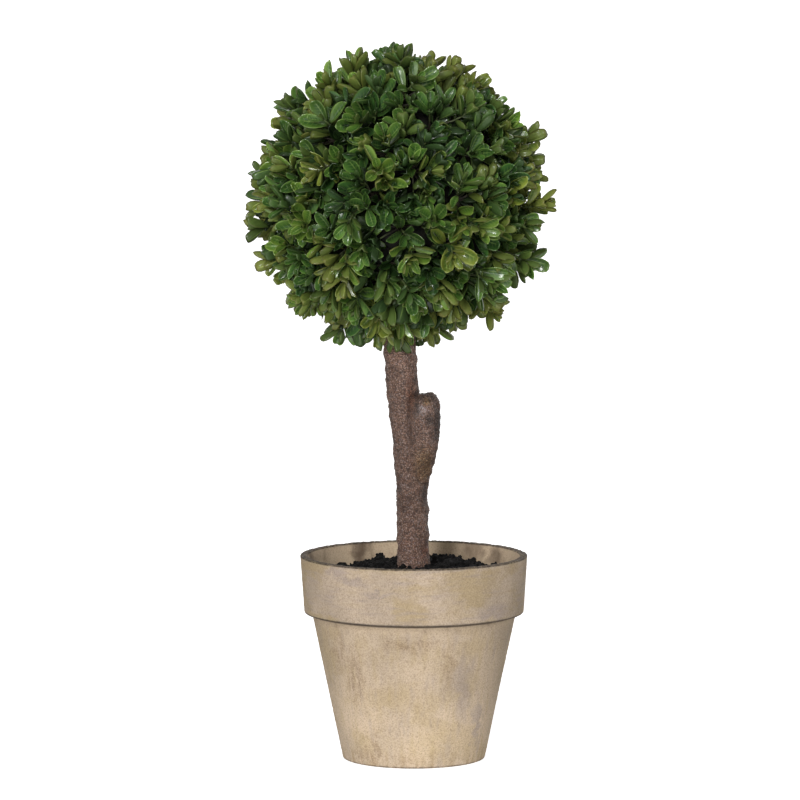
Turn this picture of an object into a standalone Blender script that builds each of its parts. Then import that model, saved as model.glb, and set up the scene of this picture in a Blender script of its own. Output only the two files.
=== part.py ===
"""An artificial boxwood ball on a stem, standing in a filled clay pot.

Run it with   blender --background --python part.py   or from Blender's text editor.
Metres, +Z up. The origin is the middle of the pot's flat underside, +X is to the
right of the plant and -Y is its front, the side that carries the pruned stub.
"""

import math
import random

import bmesh
import bpy
from mathutils import Matrix, Vector, noise

MM = 0.001
CLEARANCE = 0.3 * MM  # the gap left between neighbouring pieces

# ------------------------------------------------------------------ pot and filling
POT_HEIGHT = 146 * MM
POT_LIP_RADIUS = 81 * MM
BAND_HEIGHT = 41 * MM  # the plain band round the mouth
BAND_FOOT_RADIUS = 78.4 * MM
SHOULDER = POT_HEIGHT - BAND_HEIGHT  # where the body comes out from under the band
SHOULDER_RADIUS = 72.8 * MM
POT_FOOT_RADIUS = 51 * MM
POT_WALL = 5.5 * MM
POT_FLOOR = 10 * MM
LIP_ROUNDING = 1.1 * MM
BAND_ROUNDING = 1.6 * MM
FOOT_ROUNDING = 1.5 * MM
ROUNDING_STEPS = 3
POT_STEPS = 56

GROUND = 134 * MM  # the level at which the trunk is cut off flat
SOIL_EDGE_HEIGHT = 130 * MM
SOIL_HEAP_HEIGHT = 138 * MM
SOIL_HEAP_RADIUS = 26 * MM
SOIL_RINGS = 7
SOIL_ROUGHNESS = 2.6 * MM
SOIL_LUMP = 11 * MM
TRUNK_SEAT_RADIUS = 13.2 * MM
TRUNK_SEAT_SLOPE = 3 * MM

# ------------------------------------------------------------------ trunk and stub
# Stations along a limb, each its height, its place to the right and backwards, and
# its radius, in mm. The trunk's run from the flat cut to its end inside the foliage.
TRUNK_STATIONS = (
    (134, 0.2, 0, 12.0),
    (140, 0.2, 0, 11.5),
    (156, -0.5, 0, 11.1),
    (176, -0.9, 0, 11.0),
    (196, -1.3, 0, 11.3),
    (216, -2.6, 0, 11.5),
    (236, -4.6, 0, 11.4),
    (256, -7.0, 0, 11.2),
    (276, -9.0, 0, 11.3),
    (296, -10.2, 0, 11.4),
    (316, -10.8, 0, 11.2),
    (340, -11.3, 0, 11.0),
)
TRUNK_RING_SPACING = 9 * MM
TRUNK_BEVEL_RESOLUTION = 8  # which gives 20 sides
# The stub's run from its root inside the trunk to its rounded, pruned end.
STUB_STATIONS = (
    (194, 0.6, -0.8, 8.2),
    (204, 2.6, -3.0, 9.2),
    (214, 4.7, -5.8, 10.0),
    (224, 6.4, -8.0, 10.6),
    (238, 7.6, -9.8, 10.9),
    (250, 7.9, -10.3, 10.8),
    (257, 7.9, -10.4, 10.2),
    (261, 7.7, -10.4, 8.4),
    (263, 7.5, -10.4, 5.4),
)
STUB_RING_SPACING = 6 * MM
STUB_BEVEL_RESOLUTION = 7

# ------------------------------------------------------------------ foliage
# Stems rise from a core and divide into twigs, which carry pairs of leaves.
BALL_CENTRE = Vector((-11.3, 0, 399)) * MM
CORE_RADIUS = 90 * MM
CORE_LUMPS = 5 * MM  # how far its surface rises and falls
CORE_LUMP_SIZE = 22 * MM
FORK_RADIUS = 93 * MM  # where a stem divides into its twigs
TWIG_END_RADIUS = 94.5 * MM
TWIG_END_SPREAD = 2.5 * MM
ROOT_DEPTH = 4 * MM  # how far a stem or twig is sunk in the core
STEM_COUNT = 28
TWIG_COUNT = 86
DIRECTION_JITTER = 0.055  # radians
STEM_PULL = 0.25  # how far a twig's root is drawn towards its stem
STEM_THICKNESS = 2.1 * MM
TWIG_THICKNESS = 1.7 * MM
TWIG_TAPER = 0.72
LEAF_LENGTH = 21 * MM
LEAF_SIZE_SPREAD = 0.1
LEAF_WIDTH = 0.62  # this and the next three are shares of the leaf's length
LEAF_SHOULDER = 0.62  # where it is widest
LEAF_CUP = 0.07  # how far its edges stand up
LEAF_KEEL = 0.055  # how far its middle hangs down
# Pairs of leaves: how far along the twig, and how many degrees open from its line.
LEAF_PAIRS = ((0.6, 70), (0.8, 50), (0.98, 24))
OPENNESS_SPREAD = 8
LEAF_TURN_JITTER = 0.16  # radians
LEAF_ROOT_DEPTH = 0.3 * MM  # below the twig's middle line
TRUNK_KEEP_OUT = 13.6 * MM  # no twig or leaf comes nearer to the trunk's middle line
SEED = 12


# ------------------------------------------------------------------ common tools
def clear_scene():
    for obj in list(bpy.data.objects):
        bpy.data.objects.remove(obj, do_unlink=True)


def new_collection(name):
    collection = bpy.data.collections.new(name)
    bpy.context.scene.collection.children.link(collection)
    return collection


def material(name, colour, roughness):
    made = bpy.data.materials.new(name)
    made.use_nodes = True
    shader = made.node_tree.nodes["Principled BSDF"]
    shader.inputs["Base Color"].default_value = (*colour, 1)
    shader.inputs["Roughness"].default_value = roughness
    shader.inputs["Metallic"].default_value = 0
    return made


def new_object(name, data, collection):
    obj = bpy.data.objects.new(name, data)
    collection.objects.link(obj)
    return obj


def made_solid(obj):
    """Replaces a curve, or an object with modifiers, by the mesh that it shows."""
    name, collection, is_curve = obj.name, obj.users_collection[0], obj.type == "CURVE"
    bpy.context.view_layer.update()
    graph = bpy.context.evaluated_depsgraph_get()
    mesh = bpy.data.meshes.new_from_object(obj.evaluated_get(graph))
    if is_curve:  # its end caps come loose, and are welded on
        work = bmesh.new()
        work.from_mesh(mesh)
        bmesh.ops.remove_doubles(work, verts=work.verts, dist=0.01 * MM)
        bmesh.ops.recalc_face_normals(work, faces=work.faces)
        work.to_mesh(mesh)
        work.free()
    bpy.data.objects.remove(obj, do_unlink=True)
    return new_object(name, mesh, collection)


def finish(obj, surface, sharp_degrees):
    """Gives a solid its material, and smooth shading except over sharp edges."""
    obj.data.materials.clear()
    obj.data.materials.append(surface)
    obj.data.shade_smooth()
    obj.data.set_sharp_from_angle(angle=math.radians(sharp_degrees))


def boolean(obj, operation, solver, cutter=None, group=None):
    modifier = obj.modifiers.new(operation.title(), "BOOLEAN")
    modifier.operation = operation
    modifier.solver = solver
    if group:
        modifier.operand_type = "COLLECTION"
        modifier.collection = group
    else:
        modifier.object = cutter


def arc(centre_x, centre_z, radius, start, end):
    """Points of a round corner in a profile, between two angles in degrees."""
    for i in range(ROUNDING_STEPS + 1):
        angle = math.radians(start + (end - start) * i / ROUNDING_STEPS)
        yield centre_x + radius * math.cos(angle), centre_z + radius * math.sin(angle)


def turned(name, profile, collection):
    """Turns a profile, given as (radius, height) points, round the Z axis."""
    mesh = bpy.data.meshes.new(name)
    points = [(x, 0, z) for x, z in profile]
    mesh.from_pydata(points, [(i, i + 1) for i in range(len(points) - 1)], [])
    obj = new_object(name, mesh, collection)
    screw = obj.modifiers.new("Turn", "SCREW")
    screw.steps = screw.render_steps = POT_STEPS
    screw.use_merge_vertices = True
    screw.merge_threshold = 0.01 * MM
    return made_solid(obj)


# ------------------------------------------------------------------ pot and filling
def bore_radius(height):
    """The inside of the pot, one cone from its floor to its lip."""
    slope = (SHOULDER_RADIUS - POT_FOOT_RADIUS) / SHOULDER
    return POT_FOOT_RADIUS + slope * height - POT_WALL


def build_pot(collection):
    lip, band, foot = LIP_ROUNDING, BAND_ROUNDING, FOOT_ROUNDING
    profile = [
        (0, POT_FLOOR),
        (bore_radius(POT_FLOOR), POT_FLOOR),
        (bore_radius(SHOULDER), SHOULDER),
        *arc(bore_radius(POT_HEIGHT) + lip, POT_HEIGHT - lip, lip, 180, 90),
        *arc(POT_LIP_RADIUS - lip, POT_HEIGHT - lip, lip, 90, 0),
        *arc(BAND_FOOT_RADIUS - band, SHOULDER + band, band, 0, -90),
        (SHOULDER_RADIUS, SHOULDER),
        *arc(POT_FOOT_RADIUS - foot, foot, foot, -12, -90),
        (0, 0),
    ]
    pot = turned("pot", profile, collection)
    finish(pot, material("aged_clay", (0.53, 0.42, 0.31), 0.85), sharp_degrees=40)


def build_soil(collection):
    """The pot's filling: a plug with a low heap of compost round the trunk's seat."""
    floor = POT_FLOOR + CLEARANCE
    edge = bore_radius(SOIL_EDGE_HEIGHT) - 2 * CLEARANCE
    crest = TRUNK_SEAT_RADIUS + TRUNK_SEAT_SLOPE
    profile = [
        (0, GROUND - CLEARANCE),
        (TRUNK_SEAT_RADIUS, GROUND - CLEARANCE),
        (crest, SOIL_HEAP_HEIGHT),
    ]
    for i in range(SOIL_RINGS + 1):
        share = i / SOIL_RINGS
        heap = (1 + math.cos(math.pi * share)) / 2
        radius = SOIL_HEAP_RADIUS + share * (edge - SOIL_HEAP_RADIUS)
        height = SOIL_EDGE_HEIGHT + heap * (SOIL_HEAP_HEIGHT - SOIL_EDGE_HEIGHT)
        profile.append((radius, height))
    profile += [(bore_radius(floor) - 2 * CLEARANCE, floor), (0, floor)]
    soil = turned("compost_fill", profile, collection)
    for vertex in soil.data.vertices:
        within = crest - MM < math.hypot(vertex.co.x, vertex.co.y) < edge - MM
        if within and vertex.co.z > SHOULDER:
            vertex.co.z += SOIL_ROUGHNESS * noise.noise(vertex.co / SOIL_LUMP)
    finish(soil, material("dark_compost", (0.012, 0.011, 0.011), 0.95), sharp_degrees=40)


# ------------------------------------------------------------------ trunk and stub
def smooth_path(stations, spacing):
    """Points of a smooth curve through the stations, each with its radius."""
    rows = [Vector((x, y, z, radius)) * MM for z, x, y, radius in stations]
    rows = [2 * rows[0] - rows[1], *rows, 2 * rows[-1] - rows[-2]]
    for before, start, end, after in zip(rows, rows[1:], rows[2:], rows[3:]):
        count = max(1, round((end - start).xyz.length / spacing))
        for i in range(count):
            t = i / count
            point = (
                start * (2 * t**3 - 3 * t**2 + 1)
                + end * (3 * t**2 - 2 * t**3)
                + (end - before) * (t**3 - 2 * t**2 + t) / 2
                + (after - start) * (t**3 - t**2) / 2
            )
            yield point.xyz, point.w
    yield rows[-2].xyz, rows[-2].w


def limb(name, stations, spacing, bevel_resolution, collection, grown_by=0.0):
    """A round limb with flat ends. Grown, it is the room that the limb needs round it."""
    path = list(smooth_path(stations, spacing))
    if grown_by:
        (before, _), (end, radius) = path[-2:]
        path[-1] = end + (end - before).normalized() * grown_by, radius
    curve = bpy.data.curves.new(name, "CURVE")
    curve.dimensions = "3D"
    curve.bevel_depth = MM  # so that a point's radius is its thickness in mm
    curve.bevel_resolution = bevel_resolution
    curve.use_fill_caps = True
    spline = curve.splines.new("POLY")
    spline.points.add(len(path) - 1)
    for point, (place, radius) in zip(spline.points, path):
        point.co = (*place, 1)
        point.radius = (radius + grown_by) / MM
    return made_solid(new_object(name, curve, collection))


def build_trunk(collection):
    trunk = limb("trunk", TRUNK_STATIONS, TRUNK_RING_SPACING, TRUNK_BEVEL_RESOLUTION,
                 collection)
    finish(trunk, material("cast_bark", (0.16, 0.10, 0.08), 0.75), sharp_degrees=50)


def build_trunk_room(cutters):
    """What the stub and the foliage are cut with, to keep clear of the trunk."""
    room = limb("trunk_room", TRUNK_STATIONS, TRUNK_RING_SPACING, TRUNK_BEVEL_RESOLUTION,
                cutters, grown_by=1.2 * CLEARANCE)
    room.hide_render = True
    room.display_type = "WIRE"
    return room


def build_stub(collection, trunk_room):
    stub = limb("pruned_stub", STUB_STATIONS, STUB_RING_SPACING, STUB_BEVEL_RESOLUTION,
                collection)
    boolean(stub, "DIFFERENCE", "EXACT", cutter=trunk_room)
    finish(stub, material("stub_bark", (0.14, 0.09, 0.07), 0.75), sharp_degrees=50)


# ------------------------------------------------------------------ foliage
def even_directions(count):
    """Directions spread evenly over a ball, along a golden spiral from the top."""
    golden_turn = math.pi * (3 - math.sqrt(5))
    for i in range(count):
        height = 1 - (2 * i + 1) / count
        ring = math.sqrt(1 - height * height)
        yield Vector((ring * math.cos(golden_turn * i), ring * math.sin(golden_turn * i), height))


def jittered(direction, rng):
    sway = Vector([rng.gauss(0, DIRECTION_JITTER) for _ in range(3)])
    return (direction + sway).normalized()


def near_trunk(point):
    """True where a point under the ball's middle is too close to the trunk."""
    away = math.hypot(point.x - BALL_CENTRE.x, point.y - BALL_CENTRE.y)
    return point.z < BALL_CENTRE.z and away < TRUNK_KEEP_OUT


def placed(start, end, upward, size):
    """A matrix that lays the Y axis from start to end, with Z towards upward."""
    forward = (end - start).normalized()
    up = (upward - forward * upward.dot(forward)).normalized()
    turn = Matrix((forward.cross(up), forward, up)).transposed()
    return Matrix.Translation(start) @ turn.to_4x4() @ Matrix.Diagonal((*size, 1))


def three_sided_rod():
    """A rod along Y, one long and one thick, with three sides and a little taper."""
    mesh = bpy.data.meshes.new("rod")
    work = bmesh.new()
    bmesh.ops.create_cone(work, segments=3, radius1=0.5, radius2=0.5 * TWIG_TAPER,
                          depth=1, cap_ends=True)
    laid_down = Matrix.Rotation(math.radians(-90), 4, "X") @ Matrix.Translation((0, 0, 0.5))
    bmesh.ops.transform(work, matrix=laid_down, verts=work.verts)
    work.to_mesh(mesh)
    work.free()
    return mesh


def blunt_leaf():
    """A leaf along Y, one long: a hollow upper side, a keel below and a blunt tip."""
    root, left, right, left_tip, right_tip, keel = range(6)
    points = [
        (0, 0, 0),
        (-LEAF_WIDTH / 2, LEAF_SHOULDER, LEAF_CUP),
        (LEAF_WIDTH / 2, LEAF_SHOULDER, LEAF_CUP),
        (-LEAF_WIDTH / 4, 1, LEAF_CUP / 3),
        (LEAF_WIDTH / 4, 1, LEAF_CUP / 3),
        (0, LEAF_SHOULDER, -LEAF_KEEL),
    ]
    faces = [
        (root, right, left), (left, right, right_tip), (left, right_tip, left_tip),
        (root, left, keel), (root, keel, right), (left, left_tip, keel),
        (left_tip, right_tip, keel), (right_tip, right, keel),
    ]
    mesh = bpy.data.meshes.new("leaf")
    mesh.from_pydata(points, [], faces)
    return mesh


class Sprigs:
    """Grows the stems, twigs and leaves of the ball into one collection."""

    def __init__(self, group):
        self.group = group
        self.rng = random.Random(SEED)
        self.rod = three_sided_rod()
        self.leaf = blunt_leaf()

    def add_rod(self, start, end, thickness):
        rod = new_object("twig", self.rod, self.group)
        size = (thickness, (end - start).length, thickness)
        rod.matrix_world = placed(start, end, (end - start).orthogonal(), size)

    def add_leaf_pair(self, place, line, turn, openness):
        """Two leaves that face each other across the twig, with their roots in it."""
        for half_turn in (0, math.pi):
            aside = line.orthogonal().normalized()
            sway = self.rng.gauss(0, LEAF_TURN_JITTER)
            aside.rotate(Matrix.Rotation(turn + half_turn + sway, 3, line))
            spread = self.rng.uniform(-OPENNESS_SPREAD, OPENNESS_SPREAD)
            lean = math.radians(openness + spread)
            heading = line * math.cos(lean) + aside * math.sin(lean)
            length = LEAF_LENGTH * self.rng.uniform(1 - LEAF_SIZE_SPREAD, 1 + LEAF_SIZE_SPREAD)
            root = place - heading * LEAF_ROOT_DEPTH
            tip = root + heading * length
            if near_trunk(tip) or near_trunk(root.lerp(tip, LEAF_SHOULDER)):
                continue
            leaf = new_object("leaf", self.leaf, self.group)
            leaf.matrix_world = placed(root, tip, line, (length, length, length))

    def add_twig(self, base, end):
        self.add_rod(base, end, TWIG_THICKNESS)
        line = (end - base).normalized()
        first_turn = self.rng.uniform(0, math.tau)
        for number, (share, openness) in enumerate(LEAF_PAIRS):
            turn = first_turn + number * math.pi / 2
            self.add_leaf_pair(base.lerp(end, share), line, turn, openness)

    def grow(self):
        root_radius = CORE_RADIUS - ROOT_DEPTH
        stems = [jittered(way, self.rng) for way in even_directions(STEM_COUNT)]
        bearing = set()
        for way in even_directions(TWIG_COUNT):
            way = jittered(way, self.rng)
            reach = TWIG_END_RADIUS + self.rng.uniform(-TWIG_END_SPREAD, TWIG_END_SPREAD)
            end = BALL_CENTRE + way * reach
            nearest = max(range(STEM_COUNT), key=lambda i: stems[i].dot(way))
            fork = BALL_CENTRE + stems[nearest] * FORK_RADIUS
            if near_trunk(end) or near_trunk(fork):
                continue
            bearing.add(nearest)
            root = way.lerp(stems[nearest], STEM_PULL).normalized() * root_radius
            self.add_twig(BALL_CENTRE + root, end)
        for number in sorted(bearing):
            root = BALL_CENTRE + stems[number] * root_radius
            self.add_rod(root, BALL_CENTRE + stems[number] * FORK_RADIUS, STEM_THICKNESS)


def build_foliage(collection, trunk_room):
    mesh = bpy.data.meshes.new("foliage_ball")
    work = bmesh.new()
    bmesh.ops.create_icosphere(work, subdivisions=3, radius=CORE_RADIUS)
    for vertex in work.verts:
        lump = CORE_LUMPS * noise.noise(vertex.co / CORE_LUMP_SIZE)
        vertex.co = BALL_CENTRE + vertex.co + vertex.co.normalized() * lump
    work.to_mesh(mesh)
    work.free()
    ball = new_object("foliage_ball", mesh, collection)

    group = new_collection("sprigs")
    Sprigs(group).grow()
    boolean(ball, "UNION", "MANIFOLD", group=group)
    ball = made_solid(ball)
    for obj in list(group.objects):
        bpy.data.objects.remove(obj, do_unlink=True)
    bpy.data.collections.remove(group)

    boolean(ball, "DIFFERENCE", "MANIFOLD", cutter=trunk_room)
    finish(ball, material("boxwood_leaf", (0.045, 0.11, 0.022), 0.45), sharp_degrees=30)


def main():
    clear_scene()
    parts = new_collection("boxwood_ball_in_pot")
    cutters = new_collection("cutters")
    build_pot(parts)
    build_soil(parts)
    build_trunk(parts)
    trunk_room = build_trunk_room(cutters)
    build_stub(parts, trunk_room)
    build_foliage(parts, trunk_room)


main()
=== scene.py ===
# %% [markdown]
# # An artificial boxwood ball on a stem, in an aged clay pot
#
# Its maker takes a clay pot, rubs limewash over it, fills it with a plug under loose
# compost, sets a stem cast in bark-textured resin in that, and pushes moulded sprigs of
# boxwood into a dark core on top. This script does the same, from the pot upwards. The
# plain solids are loaded first. They say where each part is and how far it may reach.

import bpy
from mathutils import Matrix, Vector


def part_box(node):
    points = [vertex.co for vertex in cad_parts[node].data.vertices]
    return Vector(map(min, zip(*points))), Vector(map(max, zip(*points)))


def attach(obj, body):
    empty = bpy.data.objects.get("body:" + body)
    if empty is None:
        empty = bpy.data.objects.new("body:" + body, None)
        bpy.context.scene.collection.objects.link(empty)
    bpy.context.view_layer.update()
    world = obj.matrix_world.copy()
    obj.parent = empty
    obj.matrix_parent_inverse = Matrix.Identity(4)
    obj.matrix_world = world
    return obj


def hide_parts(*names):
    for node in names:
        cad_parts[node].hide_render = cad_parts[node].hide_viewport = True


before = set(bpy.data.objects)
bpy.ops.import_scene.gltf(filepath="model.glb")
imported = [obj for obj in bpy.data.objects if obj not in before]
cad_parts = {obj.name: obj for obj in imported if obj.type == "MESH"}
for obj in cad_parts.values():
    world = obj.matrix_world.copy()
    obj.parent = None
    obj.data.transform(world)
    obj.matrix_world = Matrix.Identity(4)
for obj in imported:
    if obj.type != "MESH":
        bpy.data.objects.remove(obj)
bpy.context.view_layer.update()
print("solids:", ", ".join(sorted(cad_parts)))

# %% Blender's and Python's own tools
import math
import random

import bmesh
import bpy
import numpy as np
from mathutils import Matrix, Vector, noise

MM = 0.001
SCENE = bpy.context.scene


def placed_in_scene(name, data):
    """A new object that holds this mesh, lamp or camera."""
    obj = bpy.data.objects.new(name, data)
    SCENE.collection.objects.link(obj)
    return obj


# %% [markdown]
# ## Camera
#
# A long lens from a few steps away leaves a plant its own shape, where a short one close
# by would swell the ball. The camera looks down a little, so that the compost shows.

# %% The camera
CAMERA_PLACE = (-0.0099, -3.5, 0.612)
CAMERA_DOWN = 5.792  # degrees below level
CAMERA_LENS = 222.4  # mm

camera = placed_in_scene("camera", bpy.data.cameras.new("camera"))
camera.location = CAMERA_PLACE
camera.rotation_euler = (math.radians(90 - CAMERA_DOWN), 0, 0)
camera.data.lens = CAMERA_LENS
camera.data.clip_start = 0.1
camera.data.clip_end = 200
SCENE.camera = camera
print("camera", -CAMERA_PLACE[1], "m in front, with a lens of", CAMERA_LENS, "mm")

# %% [markdown]
# ## Light
#
# Plastic leaves are glossy, and a room that is white all round would lay a grey veil
# over them. So the light comes from ten sun lamps, which light the floor evenly. The key
# lamp and two smaller sparks draw the white glints, three from behind brighten the
# leaves at the ball's edge, and one as wide as the sky fills in. The floor is a lit
# sheet. Its own glow would flatten the pot, so it gives none to the plant, and a wide
# lamp from below stands in for what a table would return.

# %% Lamps, background and floor
LAMPS = {  # where its light comes from, its strength, and how wide it looks in degrees
    "front": ((-0.1, -1.0, 0.05), 0.35, 24),
    "key": ((-0.32, -0.89, 0.26), 1.5, 14),
    "fill": ((0.85, -0.7, 0.3), 0.24, 50),
    "spark": ((-0.28, -0.8, 0.6), 0.95, 11),
    "small_spark": ((0.4, -0.85, 0.3), 0.42, 10),
    "left_edge": ((-0.85, 0.45, 0.15), 0.65, 40),
    "right_edge": ((0.85, 0.5, 0.15), 0.75, 40),
    "back": ((0.1, 0.95, 0.17), 1.5, 60),
    "sky": ((0, 0, 1), 0.35, 180),
    "below": ((-0.02, -0.6, -0.85), 2.2, 90),
}
FLOOR_HALF = 60  # metres
FLOOR_DROP = 0.05 * MM
WHITE = (1, 1, 1, 1)
FLOOR_FINISH = {
    "Base Color": (0.86, 0.86, 0.855, 1),
    "Roughness": 0.9,
    "Emission Color": WHITE,
    "Emission Strength": 0.75,
}

for lamp_name, (comes_from, strength, width) in LAMPS.items():
    lamp = bpy.data.lights.new(lamp_name, "SUN")
    lamp.energy = strength
    lamp.angle = math.radians(width)
    holder = placed_in_scene(lamp_name, lamp)
    holder.rotation_euler = Vector(comes_from).to_track_quat("Z", "Y").to_euler()

world = bpy.data.worlds.new("studio")
world.use_nodes = True
world.node_tree.nodes["Background"].inputs["Color"].default_value = WHITE
SCENE.world = world
world.cycles_visibility.diffuse = world.cycles_visibility.glossy = False
SCENE.view_settings.view_transform = "Standard"

floor_mesh = bpy.data.meshes.new("floor")
corners = ((-1, -1), (1, -1), (1, 1), (-1, 1))
floor_mesh.from_pydata([(x * FLOOR_HALF, y * FLOOR_HALF, 0) for x, y in corners], [], [(0, 1, 2, 3)])
floor = placed_in_scene("floor", floor_mesh)
floor.location.z = -FLOOR_DROP
floor.visible_diffuse = floor.visible_glossy = floor.visible_shadow = False
floor_paint = bpy.data.materials.new("floor_paint")
floor_paint.use_nodes = True
for socket_name, value in FLOOR_FINISH.items():
    floor_paint.node_tree.nodes["Principled BSDF"].inputs[socket_name].default_value = value
floor_mesh.materials.append(floor_paint)
print(len(LAMPS), "lamps and a lit floor")

# %% [markdown]
# ## A way to write finishes as sums
#
# A finish is a small calculation: so much grime here, less of it there. Drawn as nodes
# it is hard to read, so one class wraps a socket and lets Python's operators add the
# Math nodes. Everything else comes from one method, which makes a node of any type, sets
# it up, and fills or links its sockets.

# %% Sockets that can be added and multiplied
def math_node(operation, swapped=False):
    """A method that puts a flow, and what it is joined with, into a Math node."""

    def joined(flow, *others):
        values = (*others, flow) if swapped else (flow, *others)
        return flow.finish.node("Math", values, operation=operation)

    return joined


class Flow:
    """A socket that gives a number or a colour. A sum of flows becomes Math nodes."""

    def __init__(self, finish, socket):
        self.finish = finish
        self.socket = socket

    __add__ = __radd__ = math_node("ADD")
    __mul__ = __rmul__ = math_node("MULTIPLY")
    __sub__ = math_node("SUBTRACT")
    __rsub__ = math_node("SUBTRACT", swapped=True)
    __truediv__ = math_node("DIVIDE")
    __pow__ = math_node("POWER")
    __gt__ = math_node("GREATER_THAN")
    __abs__ = math_node("ABSOLUTE")
    __floor__ = math_node("FLOOR")
    larger = math_node("MAXIMUM")
    sine = math_node("SINE")

    def rising(self, start, end):
        """Goes smoothly from 0 at start to 1 at end, also where end is the smaller."""
        ramp = {"Value": self, "From Min": start, "From Max": end}
        return self.finish.node("MapRange", ramp, interpolation_type="SMOOTHSTEP")

    def other(self, output):
        """Another output of the node that this flow comes from."""
        return Flow(self.finish, by_name(self.socket.node.outputs, output))


# %% A finish, with the one method that makes its nodes
def by_name(sockets, name):
    """The socket at a position, or with an identifier such as A_Color."""
    if isinstance(name, int):
        return sockets[name]
    return next(socket for socket in sockets if socket.identifier == name)


class Finish:
    """A material in the making."""

    def __init__(self, name):
        self.material = bpy.data.materials.new(name)
        self.material.use_nodes = True
        self.tree = self.material.node_tree
        self.shader = self.tree.nodes["Principled BSDF"]
        self.place = self.node("TexCoord", output="Object")

    def node(self, kind, values=(), output=0, **settings):
        made = self.tree.nodes.new("ShaderNode" + kind)
        for setting, choice in settings.items():
            setattr(made, setting, choice)
        named = values.items() if isinstance(values, dict) else enumerate(values)
        for name, value in named:
            self.fill(by_name(made.inputs, name), value)
        return Flow(self, by_name(made.outputs, output))

    def fill(self, socket, value):
        if isinstance(value, Flow):
            self.tree.links.new(value.socket, socket)
        else:
            socket.default_value = value

    def surface(self, **values):
        """Fills sockets of the shader: base_color is its Base Color, and so on."""
        for name, value in values.items():
            self.fill(self.shader.inputs[name.replace("_", " ").title().replace("Ior", "IOR")], value)
        return self.material

    def mapped(self):
        """A place on the flat map that goes with a piece."""
        return self.node("UVMap", uv_map=MAP_NAME)

    def parts(self, triple):
        """The three numbers of a place or a colour."""
        first = self.node("SeparateXYZ", [triple])
        return first, first.other(1), first.other(2)

    def vectors(self, operation, *values, output=0):
        return self.node("VectorMath", values, output, operation=operation)

    def stretched(self, factors, place=None):
        """A place for noise whose lumps are drawn out where a factor is under 1."""
        return self.vectors("MULTIPLY", place or self.place, factors)

    def cloud(self, size, place=None, detail=4.0, roughness=0.55):
        """Cloudy noise from 0 to 1, with lumps of about this size."""
        values = {"Scale": 1 / size, "Detail": detail, "Roughness": roughness}
        return self.node("TexNoise", {"Vector": place or self.place, **values}, "Fac")

    def marks(self, places_and_sides, place=None):
        """1 in the middle of any of these soft marks and 0 away from them all."""
        found = 0.0
        for middle, sides in places_and_sides:
            scaled = self.stretched([1 / (side * MM) for side in sides], place)
            middle_there = [at / side for at, side in zip(middle, sides)]
            away = self.vectors("DISTANCE", scaled, middle_there, output="Value")
            found = away.rising(1.15, 0.25).larger(found)
        return found

    def layered(self, colour, *layers):
        """A colour with others laid over it in turn: how much, which, and which way."""
        for share, second, *way in layers:
            colour = self.blend(share, colour, second, *way)
        return colour

    def blend(self, share, first, second, way="MIX"):
        """A colour between two colours."""
        values = {"Factor_Float": share, "A_Color": first, "B_Color": second}
        return self.node("Mix", values, "Result_Color", data_type="RGBA", blend_type=way)

    def dimmed(self, colour, factor):
        """A colour made lighter or darker by a number."""
        return self.node("VectorMath", {"Vector": colour, "Scale": factor}, operation="SCALE")

    def relief(self, height, depth, strength):
        """A normal for fine relief of this depth, from a height between 0 and 1."""
        return self.node("Bump", {"Height": height, "Distance": depth, "Strength": strength})


def paint(red, green, blue):
    """A colour as a paint chart gives it, from 0 to 255, in the light that it returns."""
    shares = [value / 255 for value in (red, green, blue)]
    light = [s / 12.92 if s <= 0.04045 else ((s + 0.055) / 1.055) ** 2.4 for s in shares]
    return (*light, 1)


# %% [markdown]
# ## Many small shapes in one mesh
#
# There are thousands of leaves and over a thousand crumbs. As separate objects they
# would be slow to draw and lost on export, so each kind becomes one mesh. A map goes
# with it: every leaf lies on one of a few cells of a shared square, so a finish can tell
# a leaf's rim from its middle.

# %% A heap of shapes that becomes one piece
MAP_NAME = "OFBake"
MAP_CELLS = 4  # to a side of the map


class Heap:
    """Gathers shapes, as points, triangles and the map places of their corners."""

    def __init__(self):
        self.points, self.triangles, self.places, self.size = [], [], [], 0

    def add(self, points, triangles, places):
        self.points.append(points)
        self.triangles.append(triangles + self.size)
        self.places.append(places)
        self.size += len(points)

    def add_mapped(self, points, triangles, point_places):
        """Adds a shape whose points each have one place on the map."""
        self.add(points, triangles, point_places[triangles].reshape(-1, 2))

    def as_piece(self, name, material):
        triangles = np.concatenate(self.triangles)
        places = np.concatenate(self.places).astype(np.float32)
        mesh = bpy.data.meshes.new(name)
        mesh.from_pydata(np.concatenate(self.points), [], triangles)
        mesh.uv_layers.new(name=MAP_NAME).data.foreach_set("uv", places.ravel())
        mesh.shade_smooth()
        mesh.materials.append(material)
        print(f"{name}: {len(triangles)} triangles")
        return placed_in_scene(name, mesh)


def settle(piece, slot, *nodes):
    """Puts a finished piece in the place of the plain solids that it stands for."""
    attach(piece, "root")
    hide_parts(*nodes)


def grid_triangles(rows, columns):
    """Two triangles for each square of a grid whose points are numbered row by row."""
    corner = np.arange(rows * columns).reshape(rows, columns)
    a, b, c, d = corner[:-1, :-1], corner[:-1, 1:], corner[1:, 1:], corner[1:, :-1]
    return np.stack([a, b, c, a, c, d], axis=-1).reshape(-1, 3)


# %% [markdown]
# ## The clay pot
#
# A flowerpot is turned on a wheel: a tapering body and a plain straight band at the
# mouth. A Screw modifier would do that, but this pot's lip is a little chipped and its
# wall carries faint turning marks. So its profile becomes a fine grid of points, and
# each is then pushed in or out by noise.

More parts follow.
